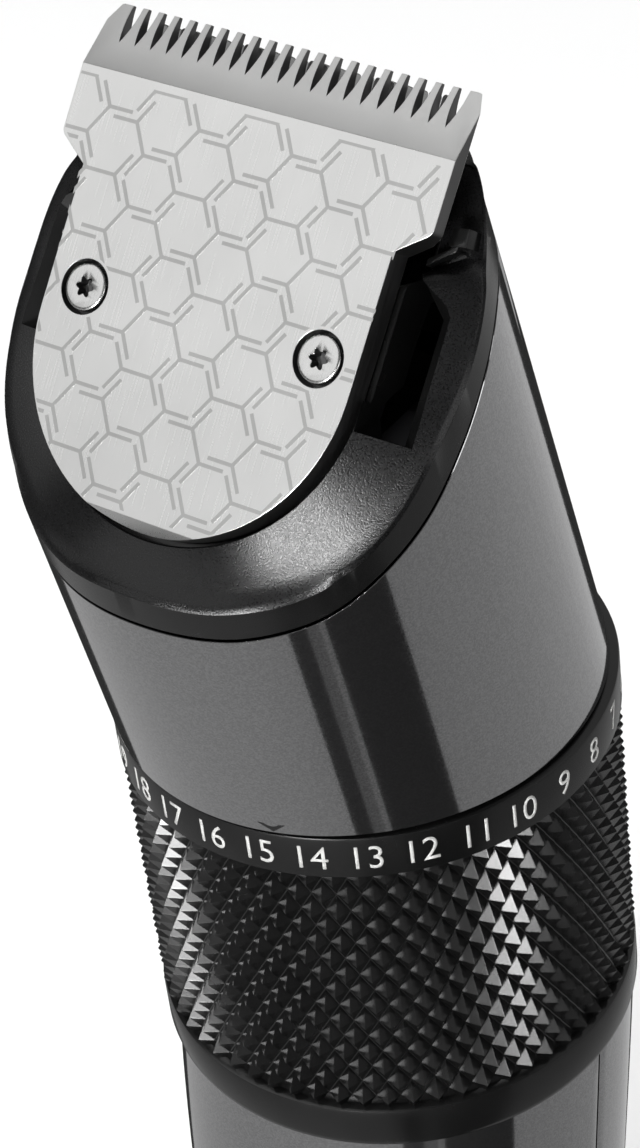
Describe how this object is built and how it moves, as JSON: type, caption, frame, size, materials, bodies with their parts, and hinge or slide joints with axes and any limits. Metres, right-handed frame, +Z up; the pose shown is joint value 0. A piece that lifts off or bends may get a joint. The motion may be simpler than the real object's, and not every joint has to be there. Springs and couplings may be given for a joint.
{
  "type": "beard trimmer",
  "caption": "Cordless beard trimmer with a toothed steel blade on a tilted head, a knurled length dial round the neck and a curved handle.",
  "frame": {"origin": "centre of the flat tail face that the trimmer stands on", "axes": "+Z up the handle towards the blade, -Y the blade side, +X to the right seen from the blade side"},
  "size_m": [0.0408, 0.0462, 0.1784],
  "materials": {
    "blade_steel": "satin ground",
    "spring_steel": "plain bright",
    "black_frame": "spark-eroded texture",
    "black_dial": "satin moulded",
    "gunmetal_paint": "glossy metallic paint",
    "inner_plastic": "matte",
    "nylon": "natural",
    "rubber": "matte",
    "brass": "plain",
    "chrome": "polished",
    "circuit_board": "solder mask",
    "light_window": "frosted clear"
  },
  "bodies": {
    "housing": {"fixed_blade": "blade_steel", "blade_screw_left": "blade_steel", "blade_screw_right": "blade_steel", "blade_carrier": "inner_plastic", "blade_spring": "spring_steel", "head_frame": "black_frame", "upper_shell": "gunmetal_paint", "motor_can": "spring_steel", "motor_end_bell": "inner_plastic", "motor_terminal_left": "brass", "motor_terminal_right": "brass", "motor_cradle": "inner_plastic", "motor_screw_left": "spring_steel", "motor_screw_right": "spring_steel", "drive_seal": "rubber", "chassis_tube": "inner_plastic", "upper_glide_ring": "nylon", "lower_glide_ring": "nylon", "dial_retainer_ring": "spring_steel", "detent_ball": "spring_steel", "detent_spring": "spring_steel", "front_handle_shell": "gunmetal_paint", "rear_handle_shell": "gunmetal_paint", "button_bezel": "chrome", "charge_light_window": "light_window", "circuit_board": "circuit_board", "push_switch": "inner_plastic", "battery_cell": "spring_steel", "battery_tab_lower": "brass", "battery_tab_upper": "brass", "charge_socket": "spring_steel", "tail_cap": "black_frame", "tail_gasket": "rubber", "tail_screw_left": "spring_steel", "tail_screw_right": "spring_steel"},
    "dial": {"length_dial": "black_dial"},
    "carriage": {"comb_carriage": "inner_plastic", "cam_follower_pin": "spring_steel"},
    "cutter": {"moving_blade": "blade_steel", "cutter_yoke": "nylon"},
    "rotor": {"motor_shaft": "spring_steel", "eccentric_cam": "nylon"},
    "button": {"power_button": "black_dial"}
  },
  "joints": [
    {"name": "dial_turn", "type": "hinge", "parent": "housing", "child": "dial", "pos_m": [0, 0.006, 0.1058], "axis": [0, 0, 1], "range_deg": [-180, 48]},
    {"name": "carriage_slide", "type": "slide", "parent": "housing", "child": "carriage", "axis": [0, 0, 1], "range_m": [-0.00751, 0.00201]},
    {"name": "cutter_slide", "type": "slide", "parent": "housing", "child": "cutter", "axis": [1, 0, 0], "range_m": [-0.001, 0.001]},
    {"name": "motor_spin", "type": "hinge", "parent": "housing", "child": "rotor", "pos_m": [0, 0.006, 0.15], "axis": [0, 0, 1], "continuous": true},
    {"name": "power_button_press", "type": "slide", "parent": "housing", "child": "button", "axis": [0, 1, 0], "range_m": [0, 0.0008], "stiffness_N_per_m": 800, "springref_m": -0.0005}
  ],
  "couplings": [
    {"joint": "carriage_slide", "follows": "dial_turn", "m_per_rad": 0.0023873}
  ]
}
